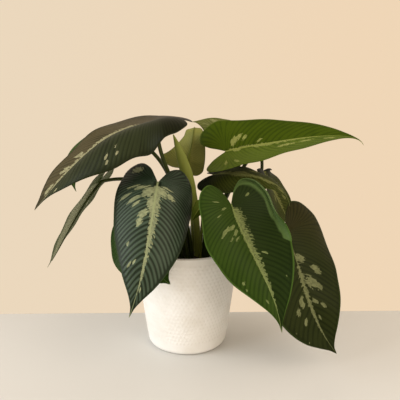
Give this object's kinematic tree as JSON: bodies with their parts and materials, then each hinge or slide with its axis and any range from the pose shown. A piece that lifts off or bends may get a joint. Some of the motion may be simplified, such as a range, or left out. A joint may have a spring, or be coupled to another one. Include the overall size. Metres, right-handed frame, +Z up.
{
  "type": "potted drop tongue plant",
  "caption": "Bushy potted foliage plant with large drooping heart-shaped variegated leaves on arching stems, and one rolled new leaf, in a tapered white pot filled with soil.",
  "frame": {"origin": "centre of the pot's flat underside, on the surface that it stands on", "axes": "+Z up along the pot's axis, -Y to the front of the plant, +X to the right when seen from the front"},
  "size_m": [0.4454, 0.2625, 0.3276],
  "materials": {
    "pot": "matt white glaze over a fine dimpled relief",
    "soil": "dark moist crumbly potting soil",
    "leaf_dark": "satin dark green with a pale midrib and pale patches",
    "leaf_bright": "satin bright green with pale patches",
    "leaf_new": "satin yellow-green"
  },
  "bodies": {
    "root": {"pot": "pot", "soil": "soil", "leaf_high_left": "leaf_dark", "leaf_back_left": "leaf_bright", "leaf_left_hanging": "leaf_dark", "leaf_front_left": "leaf_dark", "leaf_front_left_low": "leaf_dark", "leaf_front_right": "leaf_dark", "leaf_low_right": "leaf_dark", "leaf_high_right": "leaf_bright", "leaf_centre_right": "leaf_dark", "leaf_back_right": "leaf_dark", "leaf_back": "leaf_bright", "leaf_middle": "leaf_bright", "leaf_young": "leaf_bright", "new_leaf": "leaf_new"}
  },
  "joints": []
}
